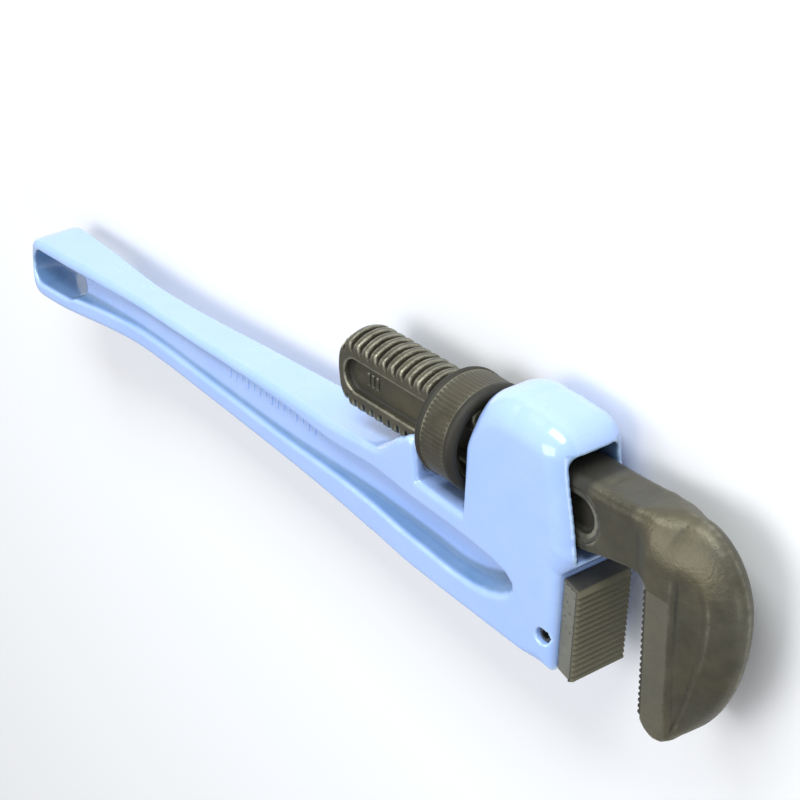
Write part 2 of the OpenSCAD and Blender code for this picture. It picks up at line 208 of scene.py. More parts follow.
def both(a, b, ra, rb=None):
    """Inside both distances, with the edge where they meet rounded to radius ra along the
    first and rb along the second."""
    rb = ra if rb is None else rb
    small = np.minimum(ra, rb)
    u, v = a / ra + 1, b / rb + 1
    return small * (np.hypot(np.maximum(u, 0), np.maximum(v, 0)) - 1
                    + np.minimum(np.maximum(u, v), 0))


def either(a, b, r):
    """Inside either distance, with a fillet of radius r where they meet."""
    return -both(-a, -b, r)


def less(a, b, r):
    """Inside the first distance and outside the second, with an edge of radius r."""
    return both(a, -b, r)


def contour(field, xs, ys, zs):
    """Points and four-sided faces of the surface where field(x, y, z) is zero. Each cell of
    the grid that the surface crosses gets one point, at the mean of the crossings on its
    edges, then pulled along the field's slope onto the surface. Each crossed grid edge gets
    a face through the four cells round it, so the surface is closed."""
    f = field(xs[:, None, None], ys[None, :, None], zs[None, None, :])
    f = np.where(f == 0, 1e-9, f)
    shape = np.array(f.shape) - 1
    total, count = np.zeros((*shape, 3)), np.zeros(shape)
    axes = (xs, ys, zs)
    crossed = []
    for axis in range(3):
        lo = [slice(None)] * 3
        hi = [slice(None)] * 3
        lo[axis], hi[axis] = slice(0, -1), slice(1, None)
        f0, f1 = f[tuple(lo)], f[tuple(hi)]
        hit = (f0 < 0) != (f1 < 0)
        t = np.where(hit, f0 / np.where(hit, f0 - f1, 1), 0)
        place = np.zeros((*f0.shape, 3))
        for other in range(3):
            line = axes[other]
            view = [None] * 3
            view[other] = slice(None)
            if other == axis:
                at, wide = line[:-1][tuple(view)], np.diff(line)[tuple(view)]
                place[..., other] = at + t * wide
            else:
                place[..., other] = line[tuple(view)]
        place *= hit[..., None]
        a, b = [other for other in range(3) if other != axis]
        for da in (0, 1):
            for db in (0, 1):
                part = [slice(None)] * 3
                part[a] = slice(da, da + shape[a])
                part[b] = slice(db, db + shape[b])
                total += place[tuple(part)]
                count += hit[tuple(part)]
        crossed.append((hit, f0 < 0))
    used = count > 0
    index = np.full(shape, -1)
    index[used] = np.arange(used.sum())
    points = total[used] / count[used][:, None]
    faces = []
    for axis, (hit, inward) in enumerate(crossed):
        a, b = (axis + 1) % 3, (axis + 2) % 3
        inner = [slice(None)] * 3
        inner[a] = inner[b] = slice(1, -1)
        where = np.argwhere(hit[tuple(inner)])
        out = inward[tuple(inner)][tuple(where.T)]
        where[:, a] += 1
        where[:, b] += 1
        ring = []
        for da, db in ((1, 1), (0, 1), (0, 0), (1, 0)):
            cell = where.copy()
            cell[:, a] -= da
            cell[:, b] -= db
            ring.append(index[tuple(cell.T)])
        ring = np.stack(ring, 1)
        faces.append(np.where(out[:, None], ring, ring[:, ::-1]))
    step = min(np.diff(line).min() for line in axes)
    nudge = 0.05 * step
    for _ in range(3):
        value = field(*points.T)
        slope = np.stack([field(*(points + nudge * np.eye(3)[k]).T) - value for k in range(3)], 1)
        slope /= nudge
        square = np.maximum((slope ** 2).sum(1), 0.05)
        move = -(value / square)[:, None] * slope
        far = np.linalg.norm(move, axis=1, keepdims=True)
        points = points + move * np.minimum(1, 0.5 * step / np.maximum(far, 1e-9))
    return points, np.concatenate(faces)


# ---------------------------------------------------------------- meshes


def in_jaw_frame(points):
    """Turns points from the jaw's own axes by its cocked angle and moves them to its pivot."""
    c, s = math.cos(COCK), math.sin(COCK)
    x, y, z = np.asarray(points, float).T
    return np.stack([PIVOT[0] + c * x - s * y, PIVOT[1] + s * x + c * y, z], 1)


def from_jaw_frame(points):
    """Coordinates x, y and z of points in the jaw's own axes."""
    c, s = math.cos(COCK), math.sin(COCK)
    x, y, z = (np.asarray(points) - PIVOT).T
    return c * x + s * y, c * y - s * x, z


def grid_faces(rows, columns, closed_rows=False):
    """Four-sided faces of a grid that is closed round its columns and, where asked, its rows.
    They face outwards where columns turn by the right hand about the direction of the rows."""
    count = rows if closed_rows else rows - 1
    r, c = np.meshgrid(np.arange(count), np.arange(columns), indexing="ij")
    r2, c2 = (r + 1) % rows, (c + 1) % columns
    ring = [r * columns + c, r * columns + c2, r2 * columns + c2, r2 * columns + c]
    return np.stack(ring, -1).reshape(-1, 4)


def carried(profiles):
    """Points and faces of closed profiles joined in a row, each end closed by one face.
    profiles is an array of rows, each the points of one profile."""
    rows, columns, _ = profiles.shape
    faces = grid_faces(rows, columns).tolist()
    faces.append(list(range(columns))[::-1])
    faces.append(list(range((rows - 1) * columns, rows * columns)))
    return profiles.reshape(-1, 3), faces


def convexity(points, mesh):
    """How much each point stands out from its neighbours, over their distance, smoothed:
    positive on edges, negative in corners, 0 on flats."""
    ends = np.empty(2 * len(mesh.edges), np.int64)
    mesh.edges.foreach_get("vertices", ends)
    a, b = ends.reshape(-1, 2).T
    normal = np.empty(3 * len(points))
    mesh.vertices.foreach_get("normal", normal)
    normal = normal.reshape(-1, 3)
    n = len(points)
    degree = np.maximum(np.bincount(a, minlength=n) + np.bincount(b, minlength=n), 1)

    def neighbours(values):
        return (np.bincount(a, values[b], n) + np.bincount(b, values[a], n)) / degree

    middle = np.stack([neighbours(points[:, k]) for k in range(3)], 1)
    span = np.linalg.norm(points[a] - points[b], axis=1)
    reach = (np.bincount(a, span, n) + np.bincount(b, span, n)) / degree
    out = ((points - middle) * normal).sum(1) / np.maximum(reach, 1e-6)
    for _ in range(2):
        out = 0.4 * out + 0.6 * neighbours(out)
    return out


def new_piece(name, parts, body, nodes=(), marks=None):
    """A mesh object made of one or more closed surfaces, given as points and faces. Its
    point attributes "edge" and "corner" say where it is convex and hollow, for wear and
    painted highlights on edges and for dirt and painted shade in corners. marks adds others
    or adds to these, each a function of the points in mm."""
    points = np.concatenate([np.asarray(p, float) for p, _ in parts])
    faces, start = [], 0
    for p, f in parts:
        faces += [[start + i for i in face] for face in (f if isinstance(f, list) else f.tolist())]
        start += len(p)
    mesh = bpy.data.meshes.new(name)
    mesh.from_pydata(points * MM, [], faces)
    mesh.update()
    mesh.polygons.foreach_set("use_smooth", np.ones(len(mesh.polygons), bool))
    bulge = convexity(points, mesh)
    values = {"edge": np.clip(bulge * 4, 0, 1), "corner": np.clip(-bulge * 4, 0, 1)}
    for label, mark in (marks or {}).items():
        values[label] = np.maximum(values.get(label, 0), mark(points))
    for label, value in values.items():
        layer = mesh.attributes.new(label, "FLOAT", "POINT")
        layer.data.foreach_set("value", np.asarray(value, np.float32))
    piece = bpy.data.objects.new(name, mesh)
    bpy.context.collection.objects.link(piece)
    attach(piece, body)
    if nodes:
        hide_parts(*nodes)
    return piece


def turned(profile, segments, wobble=None):
    """Surface of a closed profile of (along, radius) turned about the +X axis. wobble may
    change the radius as a function of along, radius and angle."""
    along, radius = np.asarray(profile, float).T
    angle = np.arange(segments) * TURN / segments
    r = np.repeat(radius[:, None], segments, 1)
    x = np.repeat(along[:, None], segments, 1)
    if wobble is not None:
        r = wobble(x, r, angle[None, :])
    points = np.stack([x, r * np.cos(angle), r * np.sin(angle)], -1)
    return points.reshape(-1, 3), grid_faces(len(along), segments, closed_rows=True)


def rounded_bar(centre, half, power=6, rows=9, columns=20):
    """A small bar with soft edges: a superellipsoid, its poles closed. Each coordinate is a
    half size times the sine or cosine of an angle raised to 2 / power."""
    v = np.linspace(-math.pi / 2, math.pi / 2, rows)
    u = np.arange(columns) * TURN / columns

    def raised(wave):
        return np.sign(wave) * np.abs(wave) ** (2 / power)

    x = raised(np.cos(v))[:, None] * raised(np.cos(u))
    y = raised(np.cos(v))[:, None] * raised(np.sin(u))
    z = raised(np.sin(v))[:, None] * np.ones_like(u)
    body = np.stack([x, y, z], -1)[1:-1] * half + centre
    ring = grid_faces(rows - 2, columns).tolist()
    last = (rows - 2) * columns
    points = np.concatenate([body.reshape(-1, 3), [centre - [0, 0, half[2]], centre + [0, 0, half[2]]]])
    for c in range(columns):
        d = (c + 1) % columns
        ring.append([last, d, c])
        ring.append([last + 1, last - columns + c, last - columns + d])
    return points, ring


# ---------------------------------------------------------------- the casting

# Outline of the casting, from the jaw end backwards
HEAD_BACK = -61.5
BASE_Y = -1.0
TROUGH_Y = 39.5
LUG_X = -88.7
LUG_TOP = 56.6
NECK_X = -117
NOSE_X = -2.0
NOSE_Y = 53
LIP_Y = 48.8
FLOOR_Y = 45
ROOF_Y = 88.8
WINDOW_HALF = 11.5
DISH_X = -75.1
DISH_Y = 66.5
DISH_R = 28.2
DISH_HALF = 13.3
STEM_X = HEEL_X + 8
FLANGE_X = HEEL_X + 3
TOP = ([-388, -375, -357, -340, -320, -300, -280, -259, -213, -178, -147, -117, -100],
       [14.6, 14.9, 15.9, 17.0, 17.7, 18.6, 19.9, 21.7, 26.6, 30.0, 33.0, 38.4, 40.5])
LOW = ([-388, -372, -356, -340, -320, -300, -280, -245, -207, -172, -117, -60, 0],
       [-14.0, -14.0, -13.0, -10.8, -8.0, -5.8, -4.5, -3.4, -2.7, -2.2, -1.3, -1.0, -1.0])
HALF = ([-388, -372, -357, -342, -326, -300, -280, -244, -206, -170, -138, -112, -92, -80],
        [12.7, 12.5, 11.7, 10.8, 9.6, 8.3, 8.6, 9.7, 10.7, 11.9, 13.5, 15.4, 16.8, 17.0])
UPPER_LIP = ([-388, -375, -340, -290, -215, -178, -148, -112, -84],
             [4.6, 4.6, 5.0, 3.8, 4.6, 5.9, 8.0, 8.6, 8.8])
LOWER_LIP = ([-388, -372, -340, -300, -215, -180, -150, -117, -84],
             [7.6, 7.6, 8.4, 8.6, 9.2, 10.0, 11.8, 13.2, 13.4])
WEB_GROWTH = ([-388, -340, -300, -250, -200, -112, -30], [0, 0.2, 0.9, 2.2, 3.2, 4.0, 4.0])
SLOT_ENDS = ((-374.3, 0.0), (-353.4, 1.45))
SLOT_R = 7.2


def side_outline():
    """Outline of the casting seen from the side, head and handle together."""
    x = np.linspace(NECK_X, TAIL_X + 14, 40)
    top = np.stack([x, smooth_curve(x, *TOP)], 1)
    low = np.stack([x, smooth_curve(x, *LOW)], 1)[::-1]
    tail = arc((TAIL_X + 14, 0.45), (15, 14.45), 96, 264, 20)
    t = np.linspace(0, 1, 9)
    slope = np.stack([mix(LUG_X - 11, NECK_X, t), mix(LUG_TOP - 3.2, top[0, 1], ease(t, -0.1, 1.1))], 1)
    head = [
        [HEEL_X + 10.1, BASE_Y], [HEEL_X + 10.1, 42], [-4.6, 46.2], [-2.4, 49.6], [NOSE_X, NOSE_Y],
        [-3.1, 59.5], [-4.9, 67], [-8.0, 78.5],
    ]
    crown = np.concatenate([
        arc((-23.5, 86), (13.7, 12.2), 8, 86, 9), [[-33, CROWN_Y + 0.4], [-40, CROWN_Y]],
        arc((-41.5, 81), (20, 17), 82, 180, 12), [[HEAD_BACK, TROUGH_Y]],
    ])
    lug = [[LUG_X, TROUGH_Y], [LUG_X - 2.6, LUG_TOP - 2.2], [LUG_X - 3.6, LUG_TOP - 0.6],
           [LUG_X - 5.6, LUG_TOP], [LUG_X - 8.2, LUG_TOP - 1.2]]
    return np.concatenate([head, crown, lug, slope, top[1:], tail, low, [[NECK_X, BASE_Y]]])


def hollow_outline():
    """Outline of the hollow in the handle's side: pointed at the front, round at the tail."""
    x = np.linspace(-118, TAIL_X + 13, 36)
    top = np.stack([x, smooth_curve(x, *TOP) - smooth_curve(x, *UPPER_LIP)], 1)
    low = np.stack([x, smooth_curve(x, *LOW) + smooth_curve(x, *LOWER_LIP)], 1)[::-1]
    tail = arc((TAIL_X + 14, 1.9), (8, 8.3), 105, 255, 12)
    front_low = [[-84, 11.9], [-66, 11.2], [-54, 11.4], [-45, 13.0], [-38.5, 15.6]]
    front_top = [[-33.2, 19.2], [-31.0, 22.6], [-31.6, 25.8], [-35.5, 28.6], [-44, 30.2],
                 [-55, 30.9], [-66, 31.1], [-80, 31.1], [-94, 30.8], [-107, 30.3]]
    return np.concatenate([front_low, front_top, top, tail, low])


def web_half(x, thinnest):
    """Half the thickness of the web, which grows from the tail towards the head."""
    return thinnest + smooth_curve(x, *WEB_GROWTH)


def wall_lean(x):
    """How far the hollow's walls lean in for each millimetre of depth: more at its front."""
    return mix(0.12, 0.7, ease(x, -72, -36))


def window_outline():
    """Outline of the shank's passage through the housing, seen from the side."""
    return np.array([[HEAD_BACK - 4, TROUGH_Y + 0.3], [HEAD_BACK, TROUGH_Y + 0.3],
                     [HEAD_BACK + 3, FLOOR_Y], [-15, FLOOR_Y], [-11.5, LIP_Y - 0.4], [6, LIP_Y],
                     [6, ROOF_Y], [-48, ROOF_Y], [-58, ROOF_Y - 3.4], [HEAD_BACK - 4, ROOF_Y - 3.4]])


SIDE, HOLLOW, WINDOW = side_outline(), hollow_outline(), window_outline()


def hang_slot_distance(x, y):
    """Distance to the long hole in the tail: to the line between its ends, less its radius."""
    (ax, ay), (bx, by) = SLOT_ENDS
    ex, ey = bx - ax, by - ay
    t = np.clip(((x - ax) * ex + (y - ay) * ey) / (ex * ex + ey * ey), 0, 1)
    return np.hypot(x - ax - t * ex, y - ay - t * ey) - SLOT_R


def casting_distance(sizes):
    """Distance to the casting: its side outline met by its flanges' outer faces, rounded
    more at the nose and crown, less the hollows, window, groove, trough and holes."""
    edge, crown, nose = sizes.edge_r / MM, sizes.crown_r / MM, sizes.nose_r / MM
    web = sizes.web_t / MM / 2

    def distance(x, y, z):
        side = outline_distance(x, y, SIDE)
        half = smooth_curve(x, *HALF)
        tail = np.maximum(TAIL_X + 12 - x, 0) / 12
        half = half - 4.5 * tail ** 2
        away = np.abs(z)
        # Edges: soft on the handle, domed over the crown, full at the nose, bevelled below it
        front = ease(x, -27, -14)
        high = ease(y, 40, 56)
        upper = ease(y, 68, 88) * ease(x, -75, -60)
        handle = 0.6 * ease(-x, 100, 170)
        r = mix(mix(edge + handle, crown, upper), mix(0.6, 1.1, high) * nose, front)
        across = mix(mix(edge + handle, crown * 1.1, upper), mix(0.35, 1.25, high) * nose, front)
        solid = both(side, away - half, r, across)
        # Hollow with leaning walls
        leaning = wall_lean(x) * np.maximum(half - away, 0)
        hollow = both(outline_distance(x, y, HOLLOW) + leaning, web_half(x, web) - away, 2.0)
        solid = less(solid, hollow, 1.2)
        # Passage for the shank, groove through the lug and dished trough under the nut
        arch = mix(0.9, 4.5, ease(y, 76, 87))
        window = both(outline_distance(x, y, WINDOW), away - WINDOW_HALF, arch)
        solid = less(solid, window, 1.1)
        groove = both(np.maximum(np.maximum(NECK_X - 6 - x, x - LUG_X - 6), 41.2 - y),
                      away - WINDOW_HALF - 0.5, 3.5)
        solid = less(solid, groove, 1.6)
        dish = np.maximum(np.hypot(y - DISH_Y, z) - DISH_R, np.abs(x - DISH_X) - DISH_HALF)
        solid = less(solid, dish, 1.2)
        solid = less(solid, hang_slot_distance(x, y), 1.6)
        # Undercut slot for the heel jaw, hole for its pin and pocket for the coil spring
        neck = np.maximum(np.abs(x - STEM_X) - 2.3, away - 5.2)
        flange = np.maximum(np.abs(x - FLANGE_X) - 3.25, away - 9.25)
        tongue = np.maximum(np.minimum(neck, flange), y - 33.3)
        solid = np.maximum(solid, -tongue)
        pin = np.hypot(x - PIN_X, y - PIN_Y) - PIN_R - 0.35
        solid = less(solid, pin, 0.6)
        pocket = np.maximum(np.hypot(x - COIL_X, z) - COIL_R - 0.6,
                            np.maximum(COIL_Y[0] - 0.6 - y, y - FLOOR_Y - 4))
        return np.maximum(solid, -pocket)

    return distance


def stretch(start, *pieces):
    """Grid lines along one axis from a start: each piece gives its end and its spacing."""
    lines = [[start]]
    for end, step in pieces:
        count = max(1, int(round((end - start) / step)))
        lines.append(np.linspace(start, end, count + 1)[1:])
        start = end
    return np.concatenate(lines)


class WRENCH_OT_casting(bpy.types.Operator):
    """Cast handle with its housing, lug and hollow sides"""

    bl_idname = "wrench.casting"
    bl_label = "Cast handle"

    def execute(self, context):
        sizes = context.scene.wrench_casting
        field = casting_distance(sizes)
        cell = sizes.cell / MM
        xs = stretch(TAIL_X - 1.7, (-340, cell), (-140, 2.5 * cell), (0.5, cell))
        ys = stretch(DROOP_Y - 1.7, (CROWN_Y + 1.7, cell))
        reach = HEAD_HALF + 1.3
        zs = np.linspace(-reach, reach, int(2 * reach / cell) // 2 * 2 + 1)
        points, faces = contour(field, xs, ys, zs)

        def painted_wall_shade(p):
            """1 on the walls of the hollow, the long hole and the passage, where the enamel gets
            painted shade, fading out over the web and at the lips."""
            x, y, z = p.T
            depth = smooth_curve(x, *HALF) - np.abs(z)
            gap = -outline_distance(x, y, HOLLOW) - wall_lean(x) * depth
            wall = ease(gap, -2.5, -1) * (1 - ease(gap, 0.6, 2.8))
            hole = 1 - ease(hang_slot_distance(x, y), 0.2, 1.6)
            passage = np.maximum(outline_distance(x, y, WINDOW), np.abs(z) - WINDOW_HALF)
            deep = (1 - ease(passage, 0.3, 1.3)) * ease(-x, 9, 13)
            return np.maximum(ease(depth, 0.8, 2.6) * np.maximum(wall, hole), deep)

        # The "hollow" mark is painted shade for the enamel on those walls
        piece = new_piece("cast_handle", [(points, faces)], "handle", ["handle"],
                          {"hollow": painted_wall_shade})
        piece.data.materials.append(enamel_material(context.scene.wrench_colours))
        return {"FINISHED"}


class WRENCH_OT_bars(bpy.types.Operator):
    """Rows of plain raised bars on the webs and in the shank's pockets"""

    bl_idname = "wrench.bars"
    bl_label = "Raised bars"

    def execute(self, context):
        web = context.scene.wrench_casting.web_t / MM / 2
        heights = [4.6, 4.6, 2.6, 4.6, 3.4, 4.6, 2.6, 4.6, 4.6, 3.4, 2.6, 4.6, 3.4, 4.6, 4.6, 2.6]
        bars = []
        for side in (1, -1):
            x = -226.0
            for height in heights:
                top = smooth_curve(x, *TOP) - smooth_curve(x, *UPPER_LIP) - 2.2
                centre = np.array([x, top - height / 2, side * web_half(x, web)])
                bars.append(rounded_bar(centre, np.array([0.9, height / 2, 0.5])))
                x += 4.4
        piece = new_piece("web_bars", bars, "handle")
        piece.data.materials.append(enamel_material(context.scene.wrench_colours))
        flat = context.scene.wrench_jaw.flats / MM / 2 - POCKET_DEPTH
        marks = []
        for side in (1, -1):
            for k in range(3):
                centre = np.array([-93.5 + 2.8 * k, 0, side * flat])
                marks.append(rounded_bar(centre, np.array([0.7, 3.0, 0.5])))
        marks = [(in_jaw_frame(points), faces) for points, faces in marks]
        piece = new_piece("pocket_bars", marks, "hook_jaw")
        piece.data.materials.append(forging_material(context.scene.wrench_colours))
        return {"FINISHED"}


# ---------------------------------------------------------------- the heel jaw


HEEL_BACK = -8.7
HEEL_SLANT = 0.27


def serrated(length, sizes):
    """Zigzag of teeth as (depth, along): each rises steeply and falls slowly, tips at 0."""
    pitch, depth = sizes.tooth_pitch / MM, sizes.tooth_depth / MM
    start = np.arange(int(length // pitch))[:, None] * pitch
    along = start + np.array([0.05, 0.3, 0.42]) * pitch
    deep = np.broadcast_to(np.array([depth, 0.0, 0.0]), along.shape)
    zigzag = np.stack([deep, along], -1).reshape(-1, 2)
    return np.concatenate([zigzag, [[depth, length]]])


def tooth_strip(length, root, sizes, towards):
    """A strip of teeth across the jaw, closed behind, its ends eased back. towards is +1 for
    tips pointing to +X and -1 for tips pointing to -X."""
    zigzag = serrated(length, sizes)
    back = np.array([[root, length], [root, 0.0]])
    outline = np.concatenate([zigzag, back])
    ends = np.array([-JAW_HALF + 0.05, -JAW_HALF + 0.6, JAW_HALF - 0.6, JAW_HALF - 0.05])
    eased = np.array([0.45, 0, 0, 0.45])
    deep = np.minimum(outline[None, :, 0] + eased[:, None], root)
    x = -towards * deep
    y = np.broadcast_to(outline[None, :, 1], deep.shape)
    z = np.broadcast_to(ends[:, None], deep.shape)
    points = np.stack([x, y, z], -1)
    if towards > 0:
        points = points[:, ::-1]
    return points


def heel_distance(sizes):
    """Distance to the heel jaw's block: a box with eased edges and a T-shaped tongue."""
    root = sizes.tooth_depth / MM

    def distance(x, y, z):
        away = np.abs(z)
        level = y
        y = y + HEEL_SLANT * (x - HEEL_BACK)
        front = both(both(x + root, HEEL_X + 10.15 - x, 0.3), away - JAW_HALF, 0.8)
        block = both(front, np.abs(y - HEEL_Y / 2) - HEEL_Y / 2, 0.8)
        neck = np.maximum(np.abs(x - STEM_X) - 3, away - 5)
        flange = np.maximum(np.abs(x - FLANGE_X) - 3, away - 9)
        tongue = np.maximum(np.minimum(neck, flange), np.abs(level - 16) - 16.8)
        solid = np.minimum(block, tongue)
        pin = np.hypot(x - PIN_X, level - PIN_Y) - PIN_R - 0.05
        return np.maximum(solid, -pin)

    return distance


class WRENCH_OT_heel(bpy.types.Operator):
    """Hardened heel jaw with its teeth, tongue and pin"""

    bl_idname = "wrench.heel"
    bl_label = "Heel jaw and pin"

    def execute(self, context):
        sizes = context.scene.wrench_jaw
        cell = 0.62
        xs = np.arange(HEEL_X - 1.2, 0.8, cell)
        ys = np.arange(-2.2, HEEL_Y + 1.8, cell)
        zs = np.linspace(-JAW_HALF - 1, JAW_HALF + 1, 45)
        block = contour(heel_distance(sizes), xs, ys, zs)
        strip = tooth_strip(HEEL_Y - 0.4, sizes.tooth_depth / MM + 1.2, sizes, 1)
        points, faces = carried(strip)
        points = points + np.array([0, 0.2 + HEEL_SLANT * HEEL_BACK, 0])

        # Painted shadow with oil: the heel's top face, under the shank, is marked as a corner so it
        # takes the soot colour
        def top(p):
            return p[:, 1] + HEEL_SLANT * (p[:, 0] - HEEL_BACK) > HEEL_Y - 0.9

        piece = new_piece("heel_jaw_block", [block, (points, faces)], "handle",
                          ["heel_jaw"], {"face": lambda p: p[:, 0] > -1.3, "corner": top})
        piece.data.materials.append(tooth_material(context.scene.wrench_colours))
        sharpen(piece, 34)

        # Slit pin: a C-shaped profile carried along Z, its ends drawn in
        gap = math.radians(16)
        a = np.linspace(gap, TURN - gap, 40)
        ring = np.concatenate([np.stack([np.cos(a), np.sin(a)], 1),
                               0.62 * np.stack([np.cos(a), np.sin(a)], 1)[::-1]])
        outer = np.concatenate([np.ones(40), np.zeros(40)])
        heights = np.array([-PIN_HALF, -PIN_HALF + 0.5, PIN_HALF - 0.5, PIN_HALF])
        shrink = np.array([0.4, 0, 0, 0.4])
        size = PIN_R - shrink[:, None] * outer[None, :]
        profile = ring[None] * size[..., None]
        z = np.broadcast_to(heights[:, None], size.shape)
        rows = np.stack([PIN_X + profile[..., 0], PIN_Y + profile[..., 1], z], -1)
        # Painted shade: the pin's ends, down in its hole, are marked as corners so they take the soot
        # colour
        pin = new_piece("slit_pin", [carried(rows)], "handle", ["heel_jaw_pin"],
                        {"corner": lambda p: np.abs(p[:, 2]) > PIN_HALF - 0.8})
        pin.data.materials.append(spring_material(context.scene.wrench_colours))
        sharpen(pin, 40)
        return {"FINISHED"}


def sharpen(piece, angle):
    """Keeps faces flat where they meet at more than the angle, in degrees."""
    piece.data.set_sharp_from_angle(angle=math.radians(angle))


# ---------------------------------------------------------------- the hook jaw

# Places in the jaw's own axes, whose origin is the point that it rocks about
SHANK_END = -110.5
THREAD_TO = 9
POCKET_DEPTH = 3.6
POCKET_ENDS = (-98.1, 32.0)
POCKET_R = 7.3
LAND_R = 10.4
TOOTH_X = 67.5
TOOTH_TOP = -10.5
TOOTH_LOW = -63.5
BAND_X = 80
NECK_TOP = 14.6
HOOK_TOP = 18.6
NUT_MID = -37.1
NUT_LEN = 22.0
NUT_RIM = 4.2
NUT_LIFT = 1.7
BORE_GAP = 0.32
RIB_HEIGHT = 0.13


def hook_outline():
    """Outline of the neck and hook seen from the side."""
    under = [[5, -14.2], [20, -14.3], [34, -13.5], [41, -11.9], [49, -10.2], [57, -8.9],
             [64, -8.7], [66.4, -9.3], [TOOTH_X + 0.9, -11.5]]
    tip = [[TOOTH_X + 0.9, -65.4], [71.0, -68.4], [74.6, -70.6], [78.2, -71.2], [81.4, -69.6]]
    outer = arc((62, -13), (44.2, 62), -64, 0, 14)
    upper = arc((79, -13), (27.2, HOOK_TOP + 13), 8, 90, 12)
    x = np.linspace(76, 44, 9)
    rise = [NECK_TOP, NECK_TOP + 0.5, HOOK_TOP - 1.5, HOOK_TOP]
    top = np.stack([x, smooth_curve(x, [44, 56, 68, 79], rise)], 1)
    top = np.concatenate([top, [[20, NECK_TOP], [5, NECK_TOP]]])
    return np.concatenate([under, tip, outer, upper, top])


def hook_back_outline():
    """Outline that follows the hook's outer edge only and stands clear of its inner side."""
    outer = arc((62, -13), (44.2, 62), -66, 0, 14)
    upper = arc((79, -13), (27.2, HOOK_TOP + 13), 8, 90, 12)
    return np.concatenate([[[20, -96]], outer, upper, [[66, HOOK_TOP + 5], [20, 60]]])


HOOK, HOOK_BACK = hook_outline(), hook_back_outline()


def thread_wave(turns):
    """Height of the thread, 0 at a root and 1 on a crest, from the number of turns."""
    part = turns - np.floor(turns)
    return ease(part, 0.18, 0.38) * (1 - ease(part, 0.82, 1.0))


def thread_radius(x, y, z, sizes, grow=0.0):
    """Radius of the right-hand thread at a place: the root radius, and the thread's depth
    where the distance along, less the turn round the axis, falls on a crest."""
    pitch, depth = sizes.pitch / MM, sizes.thread_depth / MM
    turns = x / pitch - np.arctan2(z, y) / TURN
    return sizes.thread_r / MM - depth + depth * thread_wave(turns) + grow


def pocket_line(x, y):
    """Distance to the line down the middle of the shank's pocket."""
    return np.hypot(x - np.clip(x, *POCKET_ENDS), y)


def hook_distance(sizes):
    """Distance to the hook jaw: a threaded rod between flats with a pocket in each, a round
    backed neck, and a hook whose outer edge is rounded and whose side is slightly sunk."""
    flat = sizes.flats / MM / 2 - 0.25
    root = sizes.thread_r / MM - sizes.thread_depth / MM

    def distance(x, y, z):
        away = np.abs(z)
        # Threaded shank with its round tail
        around = np.hypot(y, z)
        crest = thread_radius(x, y, z, sizes)
        rod = both(np.maximum((around - crest) * 0.7, x - THREAD_TO), SHANK_END - x, 9)
        core = both(np.maximum(around - root, x - 40), SHANK_END - x, 9)
        shank = both(np.minimum(rod, core), away - flat, 0.7)
        # Neck and hook: full width at the teeth, thinner behind, two flanks meeting in a ridge
        side = outline_distance(x, y, HOOK)
        behind = -outline_distance(x, y, HOOK_BACK)
        upper = ease(y, -40, 0)
        start = mix(74, 40, upper)
        behind = behind + 16 * (1 - ease(x, start, start + mix(18, 26, upper)))
        half = mix(10.7, JAW_HALF, ease(x, 61, 70))
        sunk = ease(x, BAND_X, BAND_X + 3) * ease(behind, 10, 13) * ease(-y, -6, 8)
        taper = 0.16 * np.clip(27 - behind, 0, 27) * ease(x, 68, 92)
        face = away - half + taper + 1.2 * sunk
        flank = (away - 0.95 * behind - 2.0) / 1.38
        back = both(face, flank, 5.0)
        r_out = mix(mix(1.1, 4.3, ease(y, -9, 2)), 2.2, ease(x, 70, 88))
        hook = both(side, back, r_out)
        solid = either(shank, hook, 1.5)
        # Machined land and pocket
        line = pocket_line(x, y)
        land = both(line - LAND_R, flat - 0.1 - away, 0.4)
        solid = less(solid, np.where(x > 5, land, 9.0), 0.35)
        pocket = both(line - POCKET_R + 0.12 * (flat - away), flat + 0.25 - POCKET_DEPTH - away, 1.0)
        return less(solid, pocket, 0.5)

    return distance


class WRENCH_OT_hook(bpy.types.Operator):
    """Forged hook jaw with its threaded shank and teeth"""

    bl_idname = "wrench.hook"
    bl_label = "Hook jaw"

    def execute(self, context):
        sizes = context.scene.wrench_jaw
        xs = stretch(SHANK_END - 1.2, (10, 0.62), (108, 0.95))
        ys = stretch(-72.8, (-18.4, 0.95), (20.8, 0.62))
        zs = np.linspace(-JAW_HALF - 1, JAW_HALF + 1, 43)
        points, faces = contour(hook_distance(sizes), xs, ys, zs)
        strip = tooth_strip(TOOTH_TOP - TOOTH_LOW, sizes.tooth_depth / MM + 1.4, sizes, -1)
        rows, teeth = carried(strip)
        rows = rows + np.array([TOOTH_X, TOOTH_LOW, 0])

        def painted_pocket_shade(p):
            """Painted shade on the pocket's floor inside the housing, and less on the shank there."""
            x, y, z = from_jaw_frame(p)
            floor = (pocket_line(x, y) < POCKET_R - 0.5) * (np.abs(z) < sizes.flats / MM / 2)
            return np.maximum(0.9 * floor, 0.45 * (1 - ease(x, 30, 40))) * (x > 5)

        def land(p):
            """1 on the machined rim round the pocket, 0.35 on the band beside the teeth."""
            x, y, z = from_jaw_frame(p)
            line = pocket_line(x, y)
            rim = (line < LAND_R - 0.3) * (line > POCKET_R - 0.4) * (x > 12)
            band = (x > TOOTH_X - 0.5) * (x < BAND_X) * (y < -11) * 0.35
            return np.clip(rim + band, 0, 1) * (np.abs(z) > 9)

        piece = new_piece("hook_jaw_forging",
                          [(in_jaw_frame(points), faces), (in_jaw_frame(rows), teeth)],
                          "hook_jaw", ["hook_jaw"],
                          {"machined": land, "corner": painted_pocket_shade})
        piece.data.materials.append(forging_material(context.scene.wrench_colours))
        sharpen(piece, 46)
        return {"FINISHED"}


